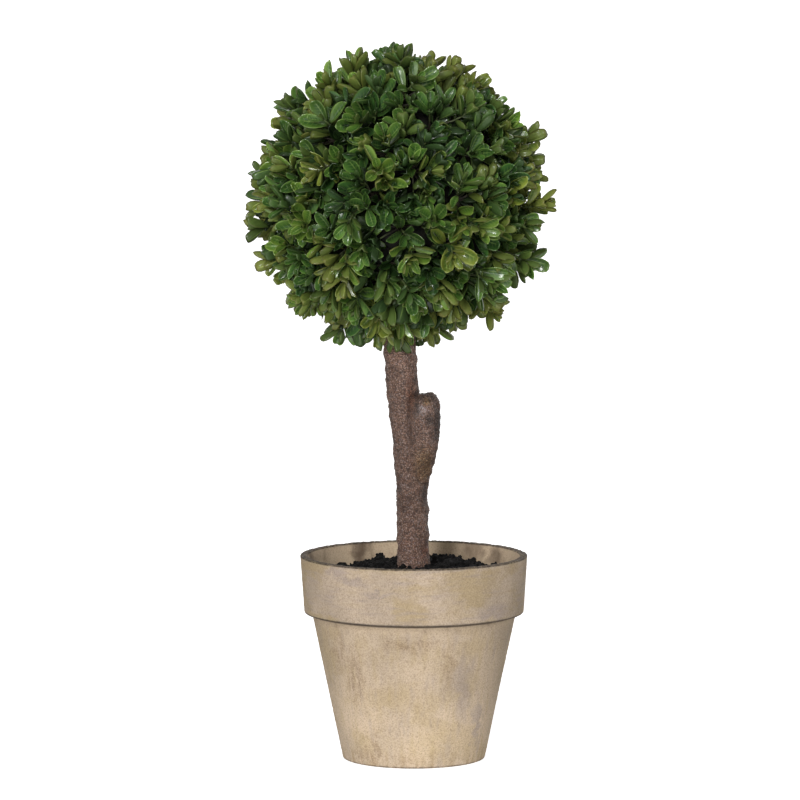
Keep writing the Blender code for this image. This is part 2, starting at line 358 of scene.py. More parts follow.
# %% The pot's profile
POT_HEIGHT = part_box("pot")[1].z
LIP_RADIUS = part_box("pot")[1].x
BAND_HEIGHT = 41 * MM
BAND_FOOT_RADIUS = 78.4 * MM
SHOULDER = POT_HEIGHT - BAND_HEIGHT
SHOULDER_RADIUS = 72.8 * MM
FOOT_RADIUS = 51 * MM
WALL = 5.5 * MM
INSIDE_END = 96 * MM  # the compost hides the wall below this
LIP_ROUNDING = 0.8 * MM
BAND_ROUNDING = 1.3 * MM
FOOT_ROUNDING = 1.2 * MM
NEAR_AXIS = 0.4 * MM
POT_POINT_GAP = 1.25 * MM
POT_STEPS = 400
CORNER_STEPS = 5


def bore_radius(height):
    """The inside of the pot, one cone from its floor to its lip."""
    return FOOT_RADIUS + (SHOULDER_RADIUS - FOOT_RADIUS) / SHOULDER * height - WALL


def corner_arc(centre_radius, centre_height, rounding, start, end):
    """Points of a round corner in a profile, between two angles in degrees."""
    shares = [i / CORNER_STEPS for i in range(CORNER_STEPS + 1)]
    turns = [math.radians(start + (end - start) * share) for share in shares]
    return [(centre_radius + rounding * math.cos(turn), centre_height + rounding * math.sin(turn))
            for turn in turns]


lip_top = POT_HEIGHT - LIP_ROUNDING
pot_corners = [
    (bore_radius(INSIDE_END), INSIDE_END),
    *corner_arc(bore_radius(POT_HEIGHT) + LIP_ROUNDING, lip_top, LIP_ROUNDING, 180, 90),
    *corner_arc(LIP_RADIUS - LIP_ROUNDING, lip_top, LIP_ROUNDING, 90, 0),
    *corner_arc(BAND_FOOT_RADIUS - BAND_ROUNDING, SHOULDER + BAND_ROUNDING, BAND_ROUNDING, 0, -90),
    (SHOULDER_RADIUS, SHOULDER),
    *corner_arc(FOOT_RADIUS - FOOT_ROUNDING, FOOT_ROUNDING, FOOT_ROUNDING, -12, -90),
    (NEAR_AXIS, 0),
]


def closely_spaced(corners, gap):
    """The same outline with points no further apart than the gap."""
    for (x0, y0), (x1, y1) in zip(corners, corners[1:]):
        count = max(1, math.ceil(math.hypot(x1 - x0, y1 - y0) / gap))
        for i in range(count):
            yield x0 + (x1 - x0) * i / count, y0 + (y1 - y0) * i / count
    yield corners[-1]


pot_profile = np.array(list(closely_spaced(pot_corners, POT_POINT_GAP)))
print("the pot's profile has", len(pot_profile), "points")

# %% Turning it, with marks and a worn lip
TURNING_MARK = 0.12 * MM
TURNING_PITCH = 5.2 * MM
HAND_WOBBLE = 0.3 * MM
DRIFTS, PATCHES, WOBBLES = 9, 25, 14  # lumps of noise to a metre
GRIT_SIZE = 1.9 * MM
GRIT_HEIGHT = 0.22 * MM
LIP_WEAR = 0.6 * MM
LIP_WEAR_SIZE = 2.6 * MM
LIP_WEAR_REACH = 1.8 * MM
FLAT_BELOW = 6 * MM  # the marks fade out under this, so that the underside stays flat


def worn(radius, height, place):
    """How a point of the pot moves, outwards and upwards."""
    wave = math.sin(math.tau * height / TURNING_PITCH + 2 * noise.noise(place * DRIFTS))
    out = TURNING_MARK * wave * noise.noise(place * PATCHES + Vector((7, 0, 0)))
    out += HAND_WOBBLE * noise.noise(place * WOBBLES) + GRIT_HEIGHT * noise.noise(place / GRIT_SIZE)
    near_edge = max(0, 1 - (POT_HEIGHT - height) / LIP_WEAR_REACH)
    near_foot = max(0, 1 - abs(height - SHOULDER - BAND_ROUNDING) / LIP_WEAR_REACH)
    edge_noise = noise.noise(place / LIP_WEAR_SIZE) + 0.6 * noise.noise(place * 3 / LIP_WEAR_SIZE)
    chip = LIP_WEAR * min(0.3, edge_noise)
    on_foot = min(1, height / FLAT_BELOW)
    return on_foot * (out + 0.5 * chip * (near_edge + 0.6 * near_foot)), on_foot * chip * near_edge


def turned_pot():
    points = np.empty((len(pot_profile), POT_STEPS + 1, 3))
    for row, (radius, height) in enumerate(pot_profile):
        for step in range(POT_STEPS + 1):
            turn = math.tau * (step % POT_STEPS) / POT_STEPS
            place = Vector((radius * math.cos(turn), radius * math.sin(turn), height))
            out, up = worn(radius, height, place)
            grown = 1 + out / max(radius, MM)
            points[row, step] = place.x * grown, place.y * grown, height + up
    return points


along_profile = np.insert(np.cumsum(np.hypot(*np.diff(pot_profile, axis=0).T)), 0, 0)
along_profile /= along_profile[-1]
pot_map = np.stack(np.meshgrid(np.linspace(0, 1, POT_STEPS + 1), along_profile), axis=-1)
pot_triangles = grid_triangles(len(pot_profile), POT_STEPS + 1)
pot_heap = Heap()
pot_heap.add_mapped(turned_pot().reshape(-1, 3), pot_triangles, pot_map.reshape(-1, 2))

# %% [markdown]
# ## Limewash on clay
#
# The maker brushes thin limewash on by hand, along the band and down the body, and
# wipes it off again. What stays is grainy and cloudy: yellow-brown where the clay shows
# through, grey where the wash is thick, with a few long drips. Dirt gathers on the lip
# and round the foot. The corner under the band is painted dark, as dirt and painted
# shade, and so are patches of the inside wall near the lip. The body is painted lighter
# towards its foot, as painted light from below. An image would wrap badly round the
# wall, so the finish is worked out at every point, from its height and from noise that
# is drawn out along the brush.

# %% The pot's colours, and the marks that the brush left
LIMEWASH = paint(194, 174, 149)
CREAM = paint(219, 196, 168)
WARM_CLAY = paint(186, 162, 112)
GREY_WASH = paint(163, 150, 146)
OLD_STAIN = paint(146, 114, 76)
GRAIN_DARK = paint(134, 110, 82)
# dark brown for dirt on the lip and foot, and for painted shade under the band
GRIME_AND_SHADE = paint(46, 35, 27)
INSIDE_CLAY = paint(209, 186, 157)
INSIDE_DIRT_AND_SHADE = paint(88, 68, 52)
GREY_MARKS = (  # in mm: each mark's middle, to the right, backwards and up, and its sides
    ((-56, -57, 141), (13, 20, 3.4)),
    ((-26, -76, 128), (16, 20, 2.6)),
    ((-46, -66, 136), (20, 20, 3)),
    ((58, -55, 112), (18, 20, 5)),
    ((44, -33, 32), (3.4, 20, 26)),
    ((34, -48, 60), (7, 24, 30)),
    ((-66, 30, 124), (24, 30, 4)),
    ((30, 50, 50), (6, 20, 34)),
)
BROWN_MARKS = (
    ((-41, -50, 66), (8, 24, 26)),
    ((-52, -36, 82), (7, 24, 20)),
    ((-27, -47, 12), (4, 20, 20)),
    ((-34, -44, 6), (12, 20, 12)),
    ((-2, -70, 91), (26, 20, 6)),
    ((24, -62, 74), (5, 30, 22)),
    ((52, 42, 78), (5, 20, 30)),
    ((-34, 46, 40), (8, 20, 30)),
)
# dark patches on the inside wall near the lip: painted shadow of the lip and the mounds, with some dirt
INSIDE_SHADOW_AND_DIRT_MARKS = (
    ((-38, 62, 140), (8, 18, 18)),
    ((43, 60, 142), (10, 18, 16)),
    ((60, 44, 138), (9, 14, 12)),
    ((-72, 14, 140), (5, 12, 14)),
)


# %% The pot's finish
WASH_BLUR = 16 * MM
SHOULDER_BLUR = 0.5 * MM
INSIDE_FROM = 104 * MM  # the inside's own colours are whole above this
LOW_FROM, LOW_TO = 75 * MM, 15 * MM
CLAY_RELIEF = 0.6 * MM


def limewashed_clay():
    finish = Finish("limewashed_clay")
    x, y, height = finish.parts(finish.place)
    radius = (x * x + y * y) ** 0.5
    on_band = height.rising(SHOULDER - SHOULDER_BLUR, SHOULDER + SHOULDER_BLUR)
    # lighter and creamier towards the foot: painted light from below
    low_down = height.rising(LOW_FROM, LOW_TO)

    ragged = finish.node("TexNoise", {"Vector": finish.place, "Scale": 120, "Detail": 4.0}, "Color")
    either_way = finish.vectors("SUBTRACT", ragged, (0.5, 0.5, 0.5))
    blurred = finish.vectors("ADD", finish.place, finish.dimmed(either_way, WASH_BLUR))
    drawn_down = finish.cloud(5 * MM, finish.stretched((1, 1, 0.08)), detail=5)
    drawn_round = finish.cloud(3.4 * MM, finish.stretched((0.14, 0.14, 1)), detail=5)
    brushed = drawn_down * (1 - on_band) + drawn_round * on_band
    broad = finish.cloud(30 * MM, finish.stretched((1, 1, 0.7)))
    washes = finish.cloud(26 * MM, finish.stretched((0.6, 0.6, 1), blurred))
    streaks = finish.cloud(2.2 * MM, finish.stretched((1, 1, 0.07)))
    grain = finish.cloud(1.15 * MM, roughness=0.8)
    stipple = finish.cloud(0.8 * MM, detail=1)

    stained = finish.marks(BROWN_MARKS, blurred)
    foot_stain = height.rising(16 * MM, 1 * MM) * drawn_down.rising(0.42, 0.66)
    pitted = grain + 0.1 * stained * streaks.rising(0.35, 0.6)
    colour = finish.layered(
        LIMEWASH,
        (broad.rising(0.36, 0.62) * 0.7 + low_down * 0.3, CREAM),
        (washes.rising(0.45, 0.64) * (0.35 + 0.4 * on_band), WARM_CLAY),
        (brushed.rising(0.5, 0.72) * 0.34, WARM_CLAY),
        (brushed.rising(0.48, 0.28) * (0.3 + 0.2 * on_band), GREY_WASH),
        (on_band * 0.2, GREY_WASH),
        (stained * (0.1 + 0.22 * streaks.rising(0.38, 0.75)), OLD_STAIN),
        (finish.marks(GREY_MARKS, blurred) * (0.1 + 0.8 * brushed), GREY_WASH),
        (foot_stain * 0.4, OLD_STAIN),
        (pitted.rising(0.46, 0.7) * 0.6, GRAIN_DARK),
        (grain.rising(0.48, 0.3) * 0.4, CREAM),
    )

    dirt = finish.cloud(14 * MM, finish.stretched((1, 1, 0.5)), detail=5, roughness=0.65)
    wall = finish.layered(
        INSIDE_CLAY,
        (dirt.rising(0.5, 0.78) * 0.5, INSIDE_DIRT_AND_SHADE),
        # painted shadow near the lip, with some dirt
        (finish.marks(INSIDE_SHADOW_AND_DIRT_MARKS, blurred) * (0.3 + 0.7 * dirt), INSIDE_DIRT_AND_SHADE),
        (grain.rising(0.48, 0.7) * 0.5, GRAIN_DARK),
    )
    inside = radius.rising(77.4 * MM, 76.6 * MM) * height.rising(INSIDE_END, INSIDE_FROM)

    on_lip = height.rising(POT_HEIGHT - 1.2 * MM, POT_HEIGHT - 0.5 * MM)
    crumbly = finish.cloud(2.4 * MM, roughness=0.7).rising(0.3, 0.6)
    # under the band: dirt, and painted shade where the band overhangs the body
    under_band = abs(height - SHOULDER).rising(2.0 * MM, 0.5 * MM) * radius.rising(79.5 * MM, 78 * MM)
    foot_line = height.rising(1.9 * MM, 0.5 * MM)
    grime_and_shade = (on_lip * (0.38 + 0.5 * crumbly)).larger(under_band * 0.9).larger(foot_line * crumbly * 0.7)
    tone = 0.975 - 0.21 * grain - 0.27 * stipple + 0.02 * on_band + 0.11 * low_down
    return finish.surface(
        base_color=finish.dimmed(finish.layered(colour, (inside, wall), (grime_and_shade, GRIME_AND_SHADE)), tone),
        roughness=0.82 + 0.14 * grain,
        normal=finish.relief(grain * 0.6 + stipple * 0.4, CLAY_RELIEF, 0.75),
    )


clay_pot = pot_heap.as_piece("clay_pot", limewashed_clay())
settle(clay_pot, "aged_clay", "pot")

# %% [markdown]
# ## Compost
#
# Loose compost holds together in small heaps. A sum of a few rounded mounds with noise
# on top gives that as well as sculpting would, and the places of the mounds stay
# readable. The crumbs are balls with dented sides, strewn over that surface.

# %% The shape of the surface
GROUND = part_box("trunk")[0].z
SOIL_EDGE_HEIGHT = 130 * MM
SOIL_HEAP_HEIGHT = 137 * MM
SOIL_HEAP_RADIUS = 26 * MM
SOIL_RADIUS = bore_radius(SOIL_EDGE_HEIGHT) + 0.4 * MM  # a little into the clay
SOIL_RINGS = 70
SOIL_STEPS = 260
SOIL_LUMP = 8 * MM
SOIL_ROUGHNESS = 3.6 * MM
MOUNDS = (  # place to the right and backwards, radius and height, in mm
    (29, 40, 15, 3.8),
    (12, 36, 10, 3.5),
    (46, 32, 8, 2.5),
    (-25, 40, 4, 5.0),
    (-22, 38, 11, 2.4),
    (-10, 30, 7, 3.0),
    (-54, 34, 5, 4.0),
    (-40, -30, 14, 3.0),
    (24, -38, 16, 3.5),
    (60, 20, 6, 4.5),
    (-2, 54, 12, 2.0),
    (50, 6, 18, 2.2),
    (-52, 4, 18, 2.2),
)


def soil_height(x, y):
    """The height of the compost at a place, all in metres."""
    share = (math.hypot(x, y) - SOIL_HEAP_RADIUS) / (SOIL_RADIUS - SOIL_HEAP_RADIUS)
    slope = (1 + math.cos(math.pi * min(1, max(0, share)))) / 2
    height = SOIL_EDGE_HEIGHT + slope * (SOIL_HEAP_HEIGHT - SOIL_EDGE_HEIGHT)
    for right, back, radius, rise in MOUNDS:
        away = math.hypot(x / MM - right, y / MM - back) / radius
        height += rise * MM * math.exp(-away * away)
    place = Vector((x, y, 0.3))
    height += SOIL_ROUGHNESS * noise.noise(place / SOIL_LUMP)
    return height + 0.35 * SOIL_ROUGHNESS * noise.noise(place * 3.1 / SOIL_LUMP)


def soil_surface():
    rings = np.linspace(0.5 * MM, SOIL_RADIUS, SOIL_RINGS)
    turns = np.linspace(0, math.tau, SOIL_STEPS + 1)
    flat = [(r * math.cos(t), r * math.sin(t)) for r in rings for t in turns]
    return np.array([(x, y, soil_height(x, y)) for x, y in flat])


soil_points = soil_surface()
soil_heap = Heap()
soil_map = soil_points[:, :2] / (2.05 * SOIL_RADIUS) + 0.5
soil_heap.add_mapped(soil_points, grid_triangles(SOIL_RINGS, SOIL_STEPS + 1), soil_map)

# %% Crumbs strewn over it
CRUMB_COUNT = 1500
CRUMB_SMALLEST = 0.6 * MM
CRUMB_LARGEST = 2.1 * MM
CRUMB_FORMS = 6
CRUMB_DENT = 0.38
CLEAR_OF_WALL = 2.5 * MM
CLEAR_OF_STEM = 11 * MM
SOIL_SEED = 4


def dented_ball(number):
    """The points and triangles of a crumb of radius one."""
    work = bmesh.new()
    bmesh.ops.create_icosphere(work, subdivisions=2, radius=1)
    for vertex in work.verts:
        vertex.co *= 1 + CRUMB_DENT * noise.noise(vertex.co * 1.3 + Vector((9.0 * number, 0, 0)))
    points = np.array([vertex.co for vertex in work.verts])
    triangles = np.array([[vertex.index for vertex in face.verts] for face in work.faces])
    work.free()
    return points, triangles


def strewn_crumbs():
    rng = random.Random(SOIL_SEED)
    forms = [dented_ball(number) for number in range(CRUMB_FORMS)]
    heap = Heap()
    for _ in range(CRUMB_COUNT):
        away = (SOIL_RADIUS - CLEAR_OF_WALL) * math.sqrt(rng.random())
        turn = rng.uniform(0, math.tau)
        x, y = away * math.cos(turn), away * math.sin(turn)
        size = CRUMB_SMALLEST + (CRUMB_LARGEST - CRUMB_SMALLEST) * rng.random() ** 2.5
        points, triangles = forms[rng.randrange(CRUMB_FORMS)]
        angle = rng.uniform(0, math.tau)
        tilt = Matrix.Rotation(angle, 3, Vector([rng.gauss(0, 1) for _ in range(3)]))
        if away < CLEAR_OF_STEM:
            continue
        centre = np.array((x, y, soil_height(x, y) + 0.25 * size))
        cell = np.array((rng.randrange(MAP_CELLS), rng.randrange(MAP_CELLS)))
        places = (cell + 0.5 + 0.4 * points[:, :2]) / MAP_CELLS
        heap.add_mapped(points @ np.array(tilt).T * size + centre, triangles, places)
    return heap


# %% [markdown]
# ## The compost's finish
#
# Damp compost is nearly black, with a few paler fibres. A black that is too even looks
# like a hole, so it is varied over two sizes and is just glossy enough to show grains.

# %% Black, with paler fibres
PEAT = paint(20, 18, 17)
DRY_PEAT = paint(56, 48, 42)
WET_PEAT = paint(8, 8, 8)
SOIL_RELIEF = 0.5 * MM


def compost_finish(name, on_map, fleck, lump):
    finish = Finish(name)
    place = finish.mapped() if on_map else finish.place
    flecks = finish.cloud(fleck, place, roughness=0.7)
    patches = finish.cloud(lump, place, detail=2)
    damp = finish.blend(patches.rising(0.35, 0.65), WET_PEAT, PEAT)
    colour = finish.blend(flecks.rising(0.62, 0.8) * 0.5, damp, DRY_PEAT)
    return finish.surface(base_color=colour, roughness=0.75 + 0.2 * flecks, specular_ior_level=0.2,
                          normal=finish.relief(flecks, SOIL_RELIEF, 0.7))


bed_finish = compost_finish("compost_bed", False, 1.6 * MM, 9 * MM)
crumb_finish = compost_finish("compost_crumb", True, 0.03, 0.25)
compost_bed = soil_heap.as_piece("compost_bed", bed_finish)
compost_crumbs = strewn_crumbs().as_piece("compost_crumbs", crumb_finish)
settle(compost_bed, "compost", "compost_fill")
settle(compost_crumbs, "compost", "compost_fill")

# %% [markdown]
# ## The stem and its pruned stub
#
# A resin stem is cast in a mould taken from a real branch, so trunk and stub are one
# skin. Two tubes pushed into each other would show a hard line, so both are lofted along
# their middle lines, melted together with a voxel Remesh, and smoothed, which fills the
# crotch as growing wood does.

# %% Middle lines
# Stations along a limb: its height, its place to the right and backwards, and its
# radius, in mm. They are the plain solids' own, from which this skin may not stray.
TRUNK_STATIONS = (
    (134, 0.2, 0, 12.0),
    (140, 0.2, 0, 11.5),
    (156, -0.5, 0, 11.1),
    (176, -0.9, 0, 11.0),
    (196, -1.3, 0, 11.3),
    (216, -2.6, 0, 11.5),
    (236, -4.6, 0, 11.4),
    (256, -7.0, 0, 11.2),
    (276, -9.0, 0, 11.3),
    (296, -10.2, 0, 11.4),
    (316, -10.8, 0, 11.2),
    (340, -11.3, 0, 11.0),
)
STUB_STATIONS = (
    (194, 0.6, -0.8, 8.2),
    (204, 2.6, -3.0, 9.2),
    (214, 4.7, -5.8, 10.0),
    (224, 6.4, -8.0, 10.6),
    (238, 7.6, -9.8, 10.9),
    (250, 7.9, -10.3, 10.8),
    (257, 7.9, -10.4, 10.2),
    (261, 7.7, -10.4, 8.4),
    (263, 7.5, -10.4, 5.4),
)
STATION_GAP = 3 * MM
LIMB_SIDES = 48


def smooth_path(stations, spacing):
    """Points of a smooth curve through the stations, each with its radius."""
    rows = [np.array((x, y, z, radius)) * MM for z, x, y, radius in stations]
    rows = [2 * rows[0] - rows[1], *rows, 2 * rows[-1] - rows[-2]]
    for before, start, end, after in zip(rows, rows[1:], rows[2:], rows[3:]):
        count = max(1, round(float(np.linalg.norm((end - start)[:3])) / spacing))
        for t in np.arange(count) / count:
            yield (start * (2 * t**3 - 3 * t**2 + 1) + end * (3 * t**2 - 2 * t**3)
                   + (end - before) * (t**3 - 2 * t**2 + t) / 2
                   + (after - start) * (t**3 - t**2) / 2)
    yield rows[-2]


def tube(path, radii, sides):
    """A closed tube round a path: points, triangles and the map places of corners."""
    path = np.asarray(path, float)
    lines = np.gradient(path, axis=0)
    lines /= np.linalg.norm(lines, axis=1)[:, None]
    across = np.cross(lines[0], (0.3, 0.9, 0.1) if abs(lines[0][1]) < 0.8 else (1, 0, 0))
    rings = []
    for centre, line, radius in zip(path, lines, radii):
        across = across - line * across.dot(line)
        across /= np.linalg.norm(across)
        turns = np.arange(sides) * math.tau / sides
        ring = np.outer(np.cos(turns), across) + np.outer(np.sin(turns), np.cross(line, across))
        rings.append(centre + ring * radius)
    points = np.concatenate([*rings, path[:1], path[-1:]])
    step = np.arange(sides)
    following = (step + 1) % sides
    faces, places = [], []
    for i in range(len(path) - 1):
        a, b = i * sides + step, i * sides + following
        faces += [np.stack([a, b, b + sides], 1), np.stack([a, b + sides, a + sides], 1)]
        for corners in (((0, 0), (1, 0), (1, 1)), ((0, 0), (1, 1), (0, 1))):
            at = [((step + right) / sides, np.full(sides, (i + up) / (len(path) - 1)))
                  for right, up in corners]
            places.append(np.stack([values for pair in at for values in pair], 1))
    first, last = len(points) - 2, len(points) - 1
    end_ring = (len(path) - 1) * sides
    faces += [np.stack([following, step, 0 * step + first], 1),
              np.stack([end_ring + step, end_ring + following, 0 * step + last], 1)]
    for level in (0.0, 1.0):
        places.append(np.tile((0.5, level), (sides, 3)))
    return points, np.concatenate(faces), np.concatenate(places).reshape(-1, 2)


# %% Melting trunk and stub into one skin
BARK_VOXEL = 0.56 * MM
CROTCH_SMOOTHING = 5


def melted_stem():
    heap = Heap()
    for stations in (TRUNK_STATIONS, STUB_STATIONS):
        rows = np.array(list(smooth_path(stations, STATION_GAP)))
        heap.add(*tube(rows[:, :3], rows[:, 3], LIMB_SIDES))
    rough = heap.as_piece("rough_stem", None)
    remesh = rough.modifiers.new("Melt", "REMESH")
    remesh.mode = "VOXEL"
    remesh.voxel_size = BARK_VOXEL
    smooth = rough.modifiers.new("Soften", "SMOOTH")
    smooth.factor = 0.5
    smooth.iterations = CROTCH_SMOOTHING
    bpy.context.view_layer.update()
    graph = bpy.context.evaluated_depsgraph_get()
    mesh = bpy.data.meshes.new_from_object(rough.evaluated_get(graph))
    bpy.data.objects.remove(rough, do_unlink=True)
    mesh.name = "bark_stem"
    return mesh


stem_mesh = melted_stem()
print("bark_stem:", sum(len(face.vertices) - 2 for face in stem_mesh.polygons), "triangles")

# %% [markdown]
# ## Bark
#
# This bark is covered in grains the size of coarse sand, with a larger knob where a twig
# was cut off, and a dark crease between trunk and stub. Relief this coarse shows in the
# outline, so it is real displacement and not only shading. Its height is kept with the
# mesh, and lets the finish darken the hollows.

# %% Relief
GRAIN_SIZE = 1.9 * MM
GRAIN_HEIGHT = 0.55 * MM
SWELLINGS = ((0.95, 0.35), (4.5, 0.9), (17, 0.7))  # the size and height of noise, in mm
CREASE_DEPTH = 1.6 * MM
CREASE_WIDTH = 1.6 * MM
CREASE_FROM, CREASE_FULL, CREASE_END = 222 * MM, 236 * MM, 264 * MM
KNOBS = (  # height, turn round the stem in degrees from the right, radius and rise in mm
    (197, -8, 3.4, 1.1),
    (178, 4, 2.8, 1.2),
    (160, -12, 3.0, 1.3),
    (150, 15, 2.4, 0.9),
    (182, 172, 2.4, 0.8),
    (157, 185, 2.6, 0.8),
    (262, 176, 3.0, 0.7),
    (286, 5, 3.2, 0.9),
    (224, 100, 4.0, 1.3),
    (270, 70, 3.6, 1.1),
    (172, 120, 3.4, 1.2),
)


def limb_middle(height, stations=TRUNK_STATIONS):
    """Where a limb's middle line is at a height, and its radius there."""
    heights, rights, backs, radii = np.array(stations).T * MM
    return [float(np.interp(height, heights, values)) for values in (rights, backs, radii)]


def knob_places():
    for height, degrees, size, rise in KNOBS:
        right, _, radius = limb_middle(height * MM)
        turn = math.radians(degrees)
        place = right + radius * math.cos(turn), radius * math.sin(turn), height * MM
        yield Vector(place), size * MM, rise * MM


def above_limb(place, stations):
    """How far a place is outside a limb's smooth surface, less than 0 inside it."""
    right, back, radius = limb_middle(place.z, stations)
    return math.hypot(place.x - right, place.y - back) - radius


def crease_at(place):
    """1 in the crease between trunk and stub and 0 away from it."""
    if not CREASE_FROM < place.z < CREASE_END:
        return 0
    apart = above_limb(place, TRUNK_STATIONS) - above_limb(place, STUB_STATIONS)
    fade = min(1, (place.z - CREASE_FROM) / (CREASE_FULL - CREASE_FROM))
    return fade * math.exp(-((apart / CREASE_WIDTH) ** 2))


def grains(place):
    """Rounded grains: 1 in the middle of each, and 0 where two of them meet."""
    first, second = noise.voronoi(place)[0][:2]
    return min(1, 1.6 * (second - first))


def bark_relief(place, knobs):
    """How far the bark stands up at a place."""
    rise = GRAIN_HEIGHT * (grains(place / GRAIN_SIZE) - 0.5)
    for size, height in SWELLINGS:
        rise += height * MM * noise.noise(place / (size * MM))
    for centre, size, height in knobs:
        rise += height * math.exp(-((place - centre).length / size) ** 2)
    return rise


def give_relief(mesh):
    knobs = list(knob_places())
    normals = [vertex.normal.copy() for vertex in mesh.vertices]
    heights = [bark_relief(vertex.co, knobs) for vertex in mesh.vertices]
    creases = [crease_at(vertex.co) for vertex in mesh.vertices]
    for vertex, normal, height, crease in zip(mesh.vertices, normals, heights, creases):
        vertex.co += normal * (height - CREASE_DEPTH * crease)
        vertex.co.z = max(vertex.co.z, GROUND)
    for name, values in (("relief", np.array(heights) / MM), ("crease", np.array(creases))):
        kept = mesh.attributes.new(name, "FLOAT", "POINT")
        kept.data.foreach_set("value", values.astype(np.float32))
    mesh.shade_smooth()


give_relief(stem_mesh)

# %% [markdown]
# ## The bark's finish
#
# The caster brushes thin brown paint into the relief and wipes the high places, so the
# colour follows the height. Rusty and ochre patches lie over that. The stem is painted
# lighter under the ball, as painted light against the ball's shadow, the stub darker in
# patches, as painted shade, and its top carries a pale grey painted highlight.

# %% Paint that lies in the hollows
BARK = paint(132, 103, 88)
BARK_PALE = paint(176, 148, 132)
BARK_DARK = paint(110, 83, 72)
BARK_HOLLOW = paint(40, 27, 21)
RUST = paint(122, 80, 54)
CREASE_BROWN_AND_SHADE = paint(58, 36, 25)
RUST_GLAZE = (1.1, 0.84, 0.7, 1)  # glazes tint what is under them
OCHRE_GLAZE = (1.12, 1.05, 0.62, 1)
# pale grey for some grains, and for a painted highlight on the stub's top
PALE_GREY_AND_HIGHLIGHT = paint(178, 171, 173)
RUST_MARKS = (  # as for the pot's marks
    ((-2, -12, 264), (5, 12, 20)),
    ((9, -10, 150), (5, 12, 9)),
    ((8, 10, 205), (8, 12, 30)),
)
OCHRE_MARKS = (
    ((7, -14, 212), (9, 14, 18)),
    ((-9, 9, 250), (7, 12, 26)),
    ((9, -20, 258), (4, 9, 4)),
)
# dark patches round the stub: painted shade on its shadow side and top
PAINTED_SHADE_MARKS = (
    ((17, -14, 241), (7, 13, 18)),
    ((11.5, -20, 245), (4.5, 8, 7)),
    ((8, -16, 263), (15, 14, 7)),
    ((2, -19, 252), (3, 8, 9)),
    ((10, -12, 190), (7, 12, 12)),
)
# a pale grey patch near the stub's top: a painted highlight
PAINTED_HIGHLIGHT_MARKS = (
    ((6, -20, 252), (5, 9, 6)),
)


PAINTED_LIGHT_FROM, PAINTED_LIGHT_TO = 262 * MM, 312 * MM
STEM_FOOT_FROM, STEM_FOOT_TO = 190 * MM, 160 * MM
BARK_RELIEF = 1.5 * MM


def bark_finish():
    finish = Finish("cast_bark")
    relief = finish.node("Attribute", output="Fac", attribute_name="relief")
    crease = finish.node("Attribute", output="Fac", attribute_name="crease")
    patches = finish.cloud(16 * MM, finish.stretched((1, 1, 0.6)))
    rusty = finish.cloud(5 * MM, roughness=0.65)
    fine = finish.cloud(1.2 * MM, roughness=0.8)
    grain = finish.node("TexVoronoi", {"Vector": finish.place, "Scale": 1 / MM}, "Distance")
    own, second_own, _ = finish.parts(grain.other("Color"))  # chances, the same all over a grain
    height = finish.parts(finish.place)[2]

    glazed = 0.4 + 0.8 * rusty
    # a painted highlight on the high places near the stub's top
    painted_highlight = finish.marks(PAINTED_HIGHLIGHT_MARKS) * relief.rising(-0.4, 0.3)
    colour = finish.layered(
        BARK,
        (patches.rising(0.4, 0.62) * 0.5, BARK_DARK),
        (relief.rising(0.2, 0.7) * 0.3, BARK_PALE),
        (second_own.rising(0.6, 1.0) * 0.5, RUST),
        (second_own.rising(0.35, 0.0) * 0.3, PALE_GREY_AND_HIGHLIGHT),
        (own.rising(0.5, 1.0) * grain.rising(0.5, 0.2) * 0.75, BARK_PALE),
        (own.rising(0.4, 0.0) * 0.6, BARK_HOLLOW),
        (grain.rising(0.42, 0.62) * 0.65, BARK_HOLLOW),
        (relief.rising(-0.25, -0.7) * 0.4, BARK_HOLLOW),
        (fine.rising(0.52, 0.7) * 0.65, BARK_HOLLOW),
        (finish.marks(RUST_MARKS) * glazed, RUST_GLAZE, "MULTIPLY"),
        (finish.marks(OCHRE_MARKS) * glazed, OCHRE_GLAZE, "MULTIPLY"),
        (painted_highlight * fine.rising(0.58, 0.42) * 0.55, PALE_GREY_AND_HIGHLIGHT),
        # the crease between trunk and stub painted dark brown: partly its own rusty colour, partly
        # painted shade
        (crease * (0.2 + 0.6 * fine), CREASE_BROWN_AND_SHADE),
    )
    # painted shade on the stub
    painted_shade = finish.marks(PAINTED_SHADE_MARKS) * rusty.rising(0.2, 0.55)
    # the stem painted lighter under the ball: painted light against the ball's shadow
    painted_light_under_ball = height.rising(PAINTED_LIGHT_FROM, PAINTED_LIGHT_TO)
    low_down = height.rising(STEM_FOOT_FROM, STEM_FOOT_TO)
    tone = 0.93 + 0.88 * painted_light_under_ball - 0.64 * painted_shade + 0.2 * low_down
    return finish.surface(
        base_color=finish.dimmed(colour, tone),
        roughness=0.3 + 0.4 * fine,
        normal=finish.relief(fine * 0.5 + (1 - grain) * 0.5, BARK_RELIEF, 0.9),
    )


stem_mesh.materials.clear()
stem_mesh.materials.append(bark_finish())
bark_stem = placed_in_scene("bark_stem", stem_mesh)
settle(bark_stem, "bark", "trunk", "pruned_stub")

# %% [markdown]
# ## The rule by which the ball grows
#
# Stems leave the core evenly in all directions and divide into twigs, and each twig
# carries pairs of leaves that face each other, every pair a quarter turn on from the
# last. Towards its tip the leaves get smaller and close up. Even directions come from a
# golden spiral, because random ones would leave bald places, and a little seeded chance
# keeps them from looking ruled.

